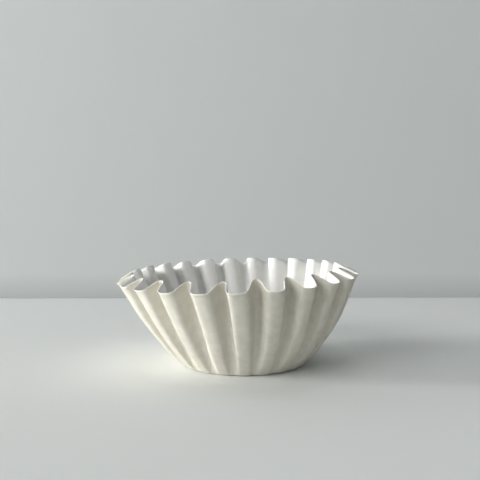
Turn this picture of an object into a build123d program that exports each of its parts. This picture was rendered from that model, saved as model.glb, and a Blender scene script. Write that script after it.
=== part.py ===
"""Flat-bottomed paper coffee filter, pressed from one round sheet of creped filter paper.

The sheet's middle stays flat as the base, and the ring around it is folded up into a flaring wall of flutes.
Ridges are the folds that stand outwards, and valleys are the folds that stand inwards. The flutes start
shallow at the base and deepen towards the rim, where they take up more of the sheet. The sheet's edge is the
same way from the base all round, measured up the wall: ridges flare out further, so they end lower than valleys.

Z is up, the base rests on Z = 0, and the origin is the middle of the base. Angles run anticlockwise from -Y,
seen from above. All sizes are in millimetres and degrees.
"""

import os
from math import cos, hypot, radians, sin

from build123d import *

# The sheet
paper_thickness = 0.25
base_radius = 25.0  # over the ridges, where the wall folds up
rim_radius = 46.4  # over the ridges at the rim, about the rim's own middle
rim_height = 34.4  # of a ridge's end, before the filter leans

# The flutes
flute_count = 24
rim_flute_depth = 6.2  # from ridge to valley, at the rim
base_flute_depth = 0.8
ridge_share = 0.48  # of a flute's turn that its flat ridge takes
valley_share = 0.18  # of a flute's turn that its flat valley takes
rim_bend_radius = 1.0  # of the bends beside each ridge and valley, to the middle of the sheet
base_bend_radius = 0.5

# How this one has settled: the soft wall leans, and its flutes aren't evenly spread
lean_x = -3.2  # of the rim's middle from the base's middle
lean_y = -3.4
sheet_middle = (0.4, 2.2, 0)  # of the round sheet, which wasn't laid quite centrally over the base
flute_turn = 1.1  # of the first ridge from -Y
flute_spread = 3.0  # the most that a flute strays towards the crowded +Y side

fold_bevel = 0.35  # outside, of the fold between the base and the wall
trim_margin = 2.0  # by which the trimming tool clears the base

wall_length = hypot(rim_radius - base_radius, rim_height)  # from the fold to the rim, along a ridge
wall_top = wall_length  # the wall is drawn this high, and then cut to length
wall_slope = (rim_radius - base_radius) / rim_height  # how far a ridge moves out for each millimetre up
level_thickness = paper_thickness * hypot(1, wall_slope)  # of the leaning wall, measured level
inner_fold_bevel = fold_bevel - 0.6 * paper_thickness  # keeps the sheet as thick through the fold


def between(at_base, at_rim, height):
    """A size that changes evenly up the wall, at this height."""
    return at_base + (at_rim - at_base) * height / rim_height


def flute_angle(turns):
    """Where a point of the outline lies, in degrees, for its place counted in flutes."""
    even = turns * 360 / flute_count
    return even + flute_turn + flute_spread * sin(radians(even))


def outline_corners(height):
    """Corners of the wall's outside at this height: two on each ridge, then two in the valley after it."""
    ridge_radius = between(base_radius, rim_radius, height)
    valley_radius = ridge_radius - between(base_flute_depth, rim_flute_depth, height)
    middle = Vector(lean_x, lean_y) * (height / rim_height)
    corners = []
    for flute in range(flute_count):
        for place, radius in (
            (flute - ridge_share / 2, ridge_radius),
            (flute + ridge_share / 2, ridge_radius),
            (flute + 0.5 - valley_share / 2, valley_radius),
            (flute + 0.5 + valley_share / 2, valley_radius),
        ):
            angle = radians(flute_angle(place))
            corners.append(middle + Vector(sin(angle), -cos(angle)) * radius)
    return corners


def moved_inwards(corners, distance):
    """The same corners after every side between them has moved inwards by this distance."""
    moved = []
    for before, corner, after in zip(corners[-1:] + corners[:-1], corners, corners[1:] + corners[:1]):
        inward_before = (corner - before).normalized().rotate(Axis.Z, 90)
        inward_after = (after - corner).normalized().rotate(Axis.Z, 90)
        both = inward_before + inward_after
        moved.append(corner + both * (distance / (1 + inward_before.dot(inward_after))))
    return moved


def wall_sketch(height, inset=0.0):
    """The filled outline of the wall's outside at this height, moved inwards into or through the sheet."""
    bend = between(base_bend_radius, rim_bend_radius, height)
    inset_from_middle = inset - level_thickness / 2
    with BuildSketch(Plane.XY.offset(height)) as sketch:
        with BuildLine():
            FilletPolyline(
                *moved_inwards(outline_corners(height), inset),
                radius=[
                    bend - inset_from_middle,
                    bend - inset_from_middle,
                    bend + inset_from_middle,
                    bend + inset_from_middle,
                ]
                * flute_count,
                close=True,
            )
        make_face()
    return sketch.sketch


# The room inside, down to the top of the base
with BuildPart() as inside:
    loft(
        [
            wall_sketch(paper_thickness, level_thickness + inner_fold_bevel),
            wall_sketch(paper_thickness + inner_fold_bevel, level_thickness),
            wall_sketch(wall_top, level_thickness),
        ],
        ruled=True,
    )

# All that the outside of the sheet closes in, less the room inside, and cut to the sheet's edge
with BuildPart() as paper_filter:
    loft([wall_sketch(0, fold_bevel), wall_sketch(fold_bevel), wall_sketch(wall_top)], ruled=True)
    add(inside.part, mode=Mode.SUBTRACT)
    with BuildSketch(Plane(sheet_middle, x_dir=(1, 0, 0), z_dir=(0, -1, 0))):
        with BuildLine():
            Polyline(
                (base_radius, wall_length),
                (0, wall_length),
                (0, -trim_margin),
                (base_radius + wall_length, -trim_margin),
                (base_radius + wall_length, 0),
            )
            CenterArc((base_radius, 0), wall_length, 0, 90)
        make_face()
    revolve(axis=Axis(sheet_middle, (0, 0, 1)), mode=Mode.INTERSECT)

os.makedirs("parts", exist_ok=True)
paper_filter.part.label = "paper_filter"
export_step(paper_filter.part, "parts/paper_filter.step")
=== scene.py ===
import math

import bpy
import numpy as np
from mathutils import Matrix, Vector, noise


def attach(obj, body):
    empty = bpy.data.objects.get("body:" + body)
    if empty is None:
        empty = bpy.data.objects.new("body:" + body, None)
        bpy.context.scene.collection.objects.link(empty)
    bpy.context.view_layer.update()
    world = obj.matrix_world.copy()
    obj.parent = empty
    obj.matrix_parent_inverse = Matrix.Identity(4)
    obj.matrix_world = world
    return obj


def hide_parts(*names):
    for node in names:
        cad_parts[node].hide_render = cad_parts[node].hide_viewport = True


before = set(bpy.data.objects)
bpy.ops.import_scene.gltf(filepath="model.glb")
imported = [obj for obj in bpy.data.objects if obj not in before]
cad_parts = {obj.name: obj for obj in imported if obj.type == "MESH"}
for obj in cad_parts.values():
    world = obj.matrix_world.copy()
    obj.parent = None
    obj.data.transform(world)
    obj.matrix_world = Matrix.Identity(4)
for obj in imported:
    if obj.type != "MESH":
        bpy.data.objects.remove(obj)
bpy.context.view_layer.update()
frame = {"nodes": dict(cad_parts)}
print("frame loaded:", ", ".join(frame["nodes"]))


def between(atBase, atRim, share):
    return atBase + (atRim - atBase) * share


def smoothStep(low, high, value):
    share = np.clip((value - low) / (high - low), 0, 1)
    return share * share * (3 - 2 * share)


def newMaterial(name):
    material = bpy.data.materials.new(name)
    material.use_nodes = True
    nodes = material.node_tree.nodes
    nodes.clear()
    return material, nodes, material.node_tree.links


def addNode(nodes, kind, **settings):
    node = nodes.new(kind)
    for key, value in settings.items():
        if key in node.inputs:
            node.inputs[key].default_value = value
        else:
            setattr(node, key, value)
    return node


def addMesh(name, vertices, faces, smooth=True):
    mesh = bpy.data.meshes.new(name)
    mesh.from_pydata([tuple(v) for v in vertices], [], faces)
    mesh.update()
    mesh.polygons.foreach_set("use_smooth", [smooth] * len(mesh.polygons))
    piece = bpy.data.objects.new(name, mesh)
    bpy.context.scene.collection.objects.link(piece)
    return piece


# the pressed paper, in metres; a flute has four bends, the ridge's two and then the valley's two
filterSheet = {
    "paperThickness": 0.00019,
    "baseRadius": 0.0250,        # over the ridges, at the fold
    "rimRadius": 0.0464,
    "rimHeight": 0.0344,
    "flutes": 24,
    "rimFluteDepth": 0.0073,
    "baseFluteDepth": 0.0004,
    # how far each bend is from its ridge's middle, in flutes
    "frontBends": (-0.22, 0.27, 0.46, 0.66),
    "backBends": (-0.13, 0.10, 0.29, 0.71),
    "baseBends": (-0.22, 0.18, 0.34, 0.52),
    # flutes whose ridge and valley have been pushed along the rim, in flutes
    "pushedFlutes": {23: (0.0, 0.08), 0: (-0.02, 0.02)},
    "ridgeRounding": 0.40,       # how much of a ridge each of its bends takes, 0.5 leaves no flat
    "valleyRounding": 0.44,
    "flankRounding": 0.22,
    "ridgeCrown": 0.00025,       # how far a ridge bows out between its bends, at the rim
    "belly": 0.0023,             # how far the wall bulges
    "bellyShift": 0.0005,        # more so on the +X side
    "bellyPlace": 0.75,          # less than 1 puts the fullest part below the wall's middle
    "lean": (-0.0032, -0.0034),
    "sheetMiddle": (0.0004, 0.0022),
    "turn": 1.1,                 # of the first ridge from -Y, in degrees
    "backTurn": -5.2,            # and how much further round the back's ridges stand
    "rimSpread": 3.0,            # the most that a flute strays towards the crowded +Y side
    "baseSpread": 6.0,
    "foldRadius": 0.0018,
    "lipHeight": 0.0016,         # the pressed edge, which flares a little more than the wall
    "lipFlare": 0.00036,
    "lipInValleys": 0.35,        # of the flare that the ridges have
    "unevenTurn": 0.035,         # how far bends stray, in flutes, at the rim
    "unevenAtBase": 0.35,        # of that at the rim
    "unevenDepth": 0.07,
    # waves in the wall: size, then waves per millimetre round the wall and up it
    "bows": (0.00022, 0.085, 0.055),
    "dents": (0.00009, 0.42, 0.22),
    "creaseWander": (0.00028, 0.16, 0.26),
    "waveFade": 0.25,            # of the wall, from the fold up, before bows and dents are full
    "seed": 11,
    "depthDraw": 9,              # keeps a flute's depth apart from its bends, which are 0 to 3
    "bendSteps": 5,
    "runSteps": (2, 3, 1, 3),    # along the ridge, the flank, the valley and the next flank
    "baseRings": (0.03, 0.2, 0.45, 0.65, 0.8, 0.9),
    "foldSteps": 4,
    "wallRows": 44,
    "rowCrowding": 0.06,         # how much closer the rows are in the middle of the wall
    "trimHalvings": 40,
}


def unevenness(flute, draw):
    # a fixed value from about -1 to 1, with steps through the noise that keep neighbours unlike
    spot = (flute * 1.73 + 0.31, draw * 2.19 + 0.17, filterSheet["seed"] * 0.77 + 0.5)
    return noise.noise(Vector(spot)) * 1.8


def wallWave(place, wave, shift=(0, 0, 0)):
    # a smooth wave at a place in millimetres, shifted so that each kind of wave is its own
    size, across, upwards = wave
    spot = (place[0] * across + shift[0], place[1] * across + shift[1], place[2] * upwards + shift[2])
    return size * noise.noise(Vector(spot))


def outlineCorners(share):
    # the four corners of every flute at this share of the rim's height
    s = filterSheet
    ridgeRadius = between(s["baseRadius"], s["rimRadius"], share)
    depth = between(s["baseFluteDepth"], s["rimFluteDepth"], share)
    spread = between(s["baseSpread"], s["rimSpread"], share)
    corners = []
    for flute in range(s["flutes"]):
        deeper = 1 + s["unevenDepth"] * unevenness(flute, s["depthDraw"])
        pushed = s["pushedFlutes"].get(flute, (0, 0))
        back = (1 - math.cos(flute * math.tau / s["flutes"])) / 2     # 0 at the front, 1 at the back
        for corner in range(4):
            atRim = between(s["frontBends"][corner], s["backBends"][corner], back)
            place = between(s["baseBends"][corner], atRim, share)
            stray = s["unevenTurn"] * unevenness(flute, corner) * between(s["unevenAtBase"], 1, share)
            stray += pushed[corner // 2] * share
            even = (flute + place + stray) * math.tau / s["flutes"]
            turned = s["turn"] + s["backTurn"] * (1 - math.cos(even)) / 2 + spread * math.sin(even)
            angle = even + math.radians(turned)
            radius = ridgeRadius if corner < 2 else ridgeRadius - depth * deeper
            corners.append((
                s["lean"][0] * share + radius * math.sin(angle),
                s["lean"][1] * share - radius * math.cos(angle),
            ))
    return np.array(corners)


def bendShares(kind):
    # how much of the side before it and after it a bend takes, which are a flank and a flat
    s = filterSheet
    flat = s["ridgeRounding"] if kind < 2 else s["valleyRounding"]
    return (s["flankRounding"], flat) if kind in (0, 2) else (flat, s["flankRounding"])


def roundedOutline(share):
    # the corners joined by soft bends and nearly straight runs, always with the same number of points
    s = filterSheet
    corners = outlineCorners(share)
    points = []
    for k, corner in enumerate(corners):
        kind = k % 4
        before, after = corners[k - 1], corners[(k + 1) % len(corners)]
        startShare, endShare = bendShares(kind)
        start = corner + (before - corner) * startShare
        end = corner + (after - corner) * endShare
        for step in range(s["bendSteps"] + 1):
            t = step / s["bendSteps"]
            points.append((1 - t) ** 2 * start + 2 * t * (1 - t) * corner + t * t * end)
        # the run up to the next bend
        runEnd = after + (corner - after) * bendShares((kind + 1) % 4)[0]
        for step in range(1, s["runSteps"][kind]):
            points.append(end + (runEnd - end) * step / s["runSteps"][kind])
    return np.array(points)


def ridgeWeight():
    # 1 along the middle of each ridge, falling to 0 through its bends, for each point of an outline
    s = filterSheet
    weights = []
    for kind in (0, 1, 2, 3) * s["flutes"]:
        for step in range(s["bendSteps"] + 1):
            t = step / s["bendSteps"]
            weights.append((t, 1 - t, 0, 0)[kind])
        weights += [1 if kind == 0 else 0] * (s["runSteps"][kind] - 1)
    return smoothStep(0, 1, np.array(weights, dtype=float))


def trimmedRim(bottom):
    # each line up the wall ends where the round sheet does
    s = filterSheet
    wallLength = math.hypot(s["rimRadius"] - s["baseRadius"], s["rimHeight"])
    top = roundedOutline(wallLength / s["rimHeight"])
    top = np.column_stack([top, np.full(len(top), wallLength)])
    middle = np.array(s["sheetMiddle"])
    low, high = np.zeros(len(top)), np.ones(len(top))
    for halving in range(s["trimHalvings"]):
        share = (low + high) / 2
        ends = bottom + (top - bottom) * share[:, None]
        reach = np.hypot(np.linalg.norm(ends[:, :2] - middle, axis=1) - s["baseRadius"], ends[:, 2])
        low = np.where(reach < wallLength, share, low)
        high = np.where(reach < wallLength, high, share)
    return bottom + (top - bottom) * low[:, None]


def sheetRows():
    # rows of points from the base's middle out to the rim, before the wall is pressed
    s = filterSheet
    bottom = roundedOutline(0)
    bottom = np.column_stack([bottom, np.zeros(len(bottom))])
    rim = trimmedRim(bottom)
    lengths = np.linalg.norm(rim - bottom, axis=1)
    inwards = -bottom / np.linalg.norm(bottom, axis=1)[:, None]
    upwards = (rim - bottom) / lengths[:, None]
    rows = [bottom * ring for ring in s["baseRings"]]
    # the fold between base and wall
    start = bottom + inwards * s["foldRadius"]
    end = bottom + upwards * s["foldRadius"]
    for step in range(s["foldSteps"] + 1):
        t = step / s["foldSteps"]
        rows.append((1 - t) ** 2 * start + 2 * t * (1 - t) * bottom + t * t * end)
    foldEnd = len(rows) - 1
    # the wall, with its belly
    bulge = -inwards * s["belly"] + np.array((s["bellyShift"], 0, 0))
    for step in range(1, s["wallRows"] + 1):
        t = step / s["wallRows"]
        rise = t + s["rowCrowding"] * math.sin(math.tau * t) / math.tau
        along = s["foldRadius"] + (lengths - s["foldRadius"]) * rise
        bulged = bulge * math.sin(math.pi * t ** s["bellyPlace"])
        rows.append(bottom + upwards * along[:, None] + bulged)
    return np.array(rows), foldEnd, lengths, inwards


def pressWall(grid, foldEnd, lengths, inwards):
    # crowned ridges, the flared lip, bows, dents and wandering creases
    s = filterSheet
    around = np.roll(grid, -1, axis=1) - np.roll(grid, 1, axis=1)
    up = np.gradient(grid, axis=0)
    outwards = np.cross(around, up)
    outwards /= np.linalg.norm(outwards, axis=2)[:, :, None] + 1e-12     # never divides by nought
    sideways = np.column_stack([-inwards[:, 1], inwards[:, 0], np.zeros(len(inwards))])
    crown = ridgeWeight()
    shares = np.linspace(0, 1, len(grid) - foldEnd)
    for r, share in enumerate(shares, foldEnd):
        toRim = (1 - share) * lengths
        lip = s["lipFlare"] * smoothStep(s["lipHeight"], 0, toRim) * between(s["lipInValleys"], 1, crown)
        fade = min(1, share / s["waveFade"])
        for c in range(len(inwards)):
            place = grid[r, c] * 1000
            wave = wallWave(place, s["bows"], (0, 0, 3.1)) + wallWave(place, s["dents"])
            wander = wallWave(place, s["creaseWander"], (7.7, 0, 0)) * math.sin(math.pi * share)
            push = wave * fade + s["ridgeCrown"] * crown[c] * share + lip[c]
            grid[r, c] += outwards[r, c] * push + sideways[c] * wander


def mapFlatSheet(piece, grid):
    # where each point lay on the flat sheet, in metres, for the paper's grain
    rowCount, count = grid.shape[:2]
    reach = np.zeros((rowCount, count))
    reach[0] = np.linalg.norm(grid[0], axis=1)
    for r in range(1, rowCount):
        reach[r] = reach[r - 1] + np.linalg.norm(grid[r] - grid[r - 1], axis=1)
    turn = np.arange(count) / count * math.tau
    flatX = (reach * np.sin(turn)).ravel()
    flatY = (-reach * np.cos(turn)).ravel()
    flat = [(0, 0)] + list(zip(flatX, flatY))
    layer = piece.data.uv_layers.new(name="flatSheet")
    for loop in piece.data.loops:
        layer.data[loop.index].uv = flat[loop.vertex_index]


def buildFilterSheet():
    grid, foldEnd, lengths, inwards = sheetRows()
    pressWall(grid, foldEnd, lengths, inwards)
    rowCount, count = grid.shape[:2]
    # a fan round the middle of the base, then a strip of squares up each line
    vertices = [(0, 0, 0), *grid.reshape(-1, 3)]
    faces = []
    for c in range(count):
        after = (c + 1) % count
        faces.append((0, 1 + after, 1 + c))
        for r in range(rowCount - 1):
            a, b = 1 + r * count, 1 + (r + 1) * count
            faces.append((a + c, a + after, b + after, b + c))
    piece = addMesh("filterPaper", vertices, faces)
    mapFlatSheet(piece, grid)
    # the mesh is the outer face, and the inner face takes the second material
    thickness = piece.modifiers.new("paperThickness", "SOLIDIFY")
    thickness.thickness = filterSheet["paperThickness"]
    thickness.offset = -1
    thickness.use_even_offset = True
    thickness.material_offset = 1
    thickness.material_offset_rim = 1
    return piece


paperGrain = {
    # noise over the flat sheet, by the millimetre
    "crepe": {"Scale": 1.0, "Detail": 3.0, "Roughness": 0.55, "Distortion": 0.4},
    "crepeStretch": (0.45, 2.6, 1),      # its ridges are longer than they are wide
    "fibres": {"Scale": 7.0, "Detail": 4.0, "Roughness": 0.65, "Distortion": 1.4},
    "fibreHeight": 0.35,                 # of the crepe's
    "cloud": {"Scale": 0.35, "Detail": 3.0, "Roughness": 0.6},
    "cloudRange": (0.3, 0.7),            # where the cloudy pulp is darkest and palest
    "bumpHeight": 0.00005,
    "roughness": 0.88,
    "specular": 0.25,
    "lightThrough": 0.03,
}
paperSides = {
    # darkest and palest pulp, and the strength of the crepe; one paper, with the outer face's tones
    # darkened as painted shade and the inner face's paled as painted light
    "shadedOutside": {"dark": (0.682, 0.655, 0.572), "pale": (0.766, 0.739, 0.654), "crepe": 0.6},
    "litInside": {"dark": (0.890, 0.885, 0.858), "pale": (0.935, 0.930, 0.908), "crepe": 0.4},
}


def makeFilterPaper(side):
    g, s = paperGrain, paperSides[side]
    material, nodes, links = newMaterial(side + "FilterPaper")
    flatPlace = addNode(nodes, "ShaderNodeUVMap", uv_map="flatSheet")
    inMillimetres = addNode(nodes, "ShaderNodeMapping", Scale=(1000, 1000, 1000))
    links.new(flatPlace.outputs["UV"], inMillimetres.inputs["Vector"])
    # crepe ridges
    stretched = addNode(nodes, "ShaderNodeMapping", Scale=g["crepeStretch"])
    links.new(inMillimetres.outputs["Vector"], stretched.inputs["Vector"])
    crepe = addNode(nodes, "ShaderNodeTexNoise", **g["crepe"])
    links.new(stretched.outputs["Vector"], crepe.inputs["Vector"])
    # matted fibres, and the cloudy look of the pulp
    fibres = addNode(nodes, "ShaderNodeTexNoise", **g["fibres"])
    cloud = addNode(nodes, "ShaderNodeTexNoise", **g["cloud"])
    for pattern in (fibres, cloud):
        links.new(inMillimetres.outputs["Vector"], pattern.inputs["Vector"])
    colours = addNode(nodes, "ShaderNodeValToRGB")
    for stop, place, tone in zip(colours.color_ramp.elements, g["cloudRange"], (s["dark"], s["pale"])):
        stop.position = place
        stop.color = (*tone, 1)
    links.new(cloud.outputs["Fac"], colours.inputs["Fac"])
    heights = addNode(nodes, "ShaderNodeMath", operation="MULTIPLY_ADD")
    heights.inputs[1].default_value = g["fibreHeight"]
    links.new(fibres.outputs["Fac"], heights.inputs[0])
    links.new(crepe.outputs["Fac"], heights.inputs[2])
    bump = addNode(nodes, "ShaderNodeBump", Strength=s["crepe"], Distance=g["bumpHeight"])
    links.new(heights.outputs[0], bump.inputs["Height"])
    # matte paper with a little light through it
    paper = addNode(nodes, "ShaderNodeBsdfPrincipled")
    paper.inputs["Roughness"].default_value = g["roughness"]
    paper.inputs["Specular IOR Level"].default_value = g["specular"]
    links.new(colours.outputs["Color"], paper.inputs["Base Color"])
    through = addNode(nodes, "ShaderNodeBsdfTranslucent")
    links.new(colours.outputs["Color"], through.inputs["Color"])
    for shader in (paper, through):
        links.new(bump.outputs["Normal"], shader.inputs["Normal"])
    mixed = addNode(nodes, "ShaderNodeMixShader", Fac=g["lightThrough"])
    links.new(paper.outputs["BSDF"], mixed.inputs[1])
    links.new(through.outputs["BSDF"], mixed.inputs[2])
    output = addNode(nodes, "ShaderNodeOutputMaterial")
    links.new(mixed.outputs["Shader"], output.inputs["Surface"])
    return material


filterPaper = buildFilterSheet()
# painted shade on the outer face's paper and painted light on the inner face's
for side in ("shadedOutside", "litInside"):
    filterPaper.data.materials.append(makeFilterPaper(side))
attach(filterPaper, "root")
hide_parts("paper_filter")
print("filter paper:", len(filterPaper.data.polygons), "faces before its thickness")


stage = {
    "wallDistance": 0.215,       # behind the filter's middle
    "halfWidth": 3.4,
    "frontReach": 3.4,
    "wallHeight": 2.5,
    # painted shade: the walls' foot, where they meet the floor, is painted darker
    "shadedFoot": 0.020,         # the walls darken a little towards their foot
    "floorTone": (0.818, 0.834, 0.828),
    "wallTone": (0.597, 0.616, 0.610),
    "footShadeTone": (0.470, 0.488, 0.483),
    "roughness": 0.7,
    "specular": 0.2,
}


def makeStagePaint(name):
    # the same matt paint for floor and walls, with its colour still to be set
    material, nodes, links = newMaterial(name)
    paint = addNode(nodes, "ShaderNodeBsdfPrincipled")
    paint.inputs["Roughness"].default_value = stage["roughness"]
    paint.inputs["Specular IOR Level"].default_value = stage["specular"]
    output = addNode(nodes, "ShaderNodeOutputMaterial")
    links.new(paint.outputs["BSDF"], output.inputs["Surface"])
    return material, paint


def makeWallPaint():
    material, paint = makeStagePaint("paleWall")
    nodes, links = material.node_tree.nodes, material.node_tree.links
    place = addNode(nodes, "ShaderNodeTexCoord")
    split = addNode(nodes, "ShaderNodeSeparateXYZ")
    links.new(place.outputs["Object"], split.inputs["Vector"])
    # painted shade at the foot of the walls, from the foot's darker tone up to the wall's
    height = addNode(nodes, "ShaderNodeMapRange")
    height.inputs["From Max"].default_value = stage["shadedFoot"]
    links.new(split.outputs["Z"], height.inputs["Value"])
    tones = addNode(nodes, "ShaderNodeValToRGB")
    tones.color_ramp.elements[0].color = (*stage["footShadeTone"], 1)
    tones.color_ramp.elements[1].color = (*stage["wallTone"], 1)
    links.new(height.outputs["Result"], tones.inputs["Fac"])
    links.new(tones.outputs["Color"], paint.inputs["Base Color"])
    return material


def buildStage():
    # a floor with walls all round it, so that there is a pale backdrop on every side
    side, front, back = stage["halfWidth"], -stage["frontReach"], stage["wallDistance"]
    corners = [(-side, front), (side, front), (side, back), (-side, back)]
    floor = addMesh("stageFloor", [(x, y, 0) for x, y in corners], [(0, 1, 2, 3)], smooth=False)
    material, paint = makeStagePaint("paleFloor")
    paint.inputs["Base Color"].default_value = (*stage["floorTone"], 1)
    floor.data.materials.append(material)
    wallCorners = [(x, y, z) for z in (0, stage["wallHeight"]) for x, y in corners]
    wallFaces = [(k, (k + 1) % 4, (k + 1) % 4 + 4, k + 4) for k in range(4)]
    wall = addMesh("stageWall", wallCorners, wallFaces, smooth=False)
    wall.data.materials.append(makeWallPaint())


buildStage()
print("stage built")


lighting = {
    # round lamps, all aimed at the filter, with a weak pale light from all round
    "aim": (0, 0, 0.02),
    "lamps": {
        "lowWindow": {
            "place": (-3.0, -0.20, 0.48), "size": 0.9, "power": 84.0, "colour": (1.0, 0.995, 0.98)},
        "frontWindow": {
            "place": (-2.2, -2.0, 1.2), "size": 1.8, "power": 48.0, "colour": (1.0, 1.0, 1.0)},
        "ceiling": {
            "place": (0.0, 0.15, 2.4), "size": 1.0, "power": 7.0, "colour": (0.98, 0.99, 1.0)},
    },
    "roomColour": (0.62, 0.65, 0.65),
    "roomStrength": 0.04,
}


def addLamp(name, place, size, power, colour):
    lamp = bpy.data.lights.new(name, "AREA")
    lamp.shape = "DISK"
    lamp.size = size
    lamp.energy = power
    lamp.color = colour
    light = bpy.data.objects.new(name, lamp)
    light.location = place
    aim = Vector(lighting["aim"]) - Vector(place)
    light.rotation_euler = aim.to_track_quat("-Z", "Y").to_euler()
    bpy.context.scene.collection.objects.link(light)


def addRoomLight():
    world = bpy.data.worlds.new("paleRoom")
    world.use_nodes = True
    background = world.node_tree.nodes["Background"]
    background.inputs["Color"].default_value = (*lighting["roomColour"], 1)
    background.inputs["Strength"].default_value = lighting["roomStrength"]
    bpy.context.scene.world = world


for name, lamp in lighting["lamps"].items():
    addLamp(name, **lamp)
addRoomLight()
print("light:", ", ".join(lighting["lamps"]))


view = {
    "place": (-0.00117, -0.2056, 0.0485),
    "pitchDown": 0.003,          # radians
    "roll": 0.002,
    "lens": 38.7,                # millimetres, for a sensor 36 mm wide
    "sensorWidth": 36,
    "nearest": 0.01,
}


def addCamera():
    lens = bpy.data.cameras.new("camera")
    lens.lens = view["lens"]
    lens.sensor_width = view["sensorWidth"]
    lens.clip_start = view["nearest"]
    camera = bpy.data.objects.new("camera", lens)
    camera.location = view["place"]
    camera.rotation_euler = (math.pi / 2 - view["pitchDown"], view["roll"], 0)
    bpy.context.scene.collection.objects.link(camera)
    bpy.context.scene.camera = camera
    bpy.context.scene.view_settings.view_transform = "Standard"


addCamera()
print("camera set")
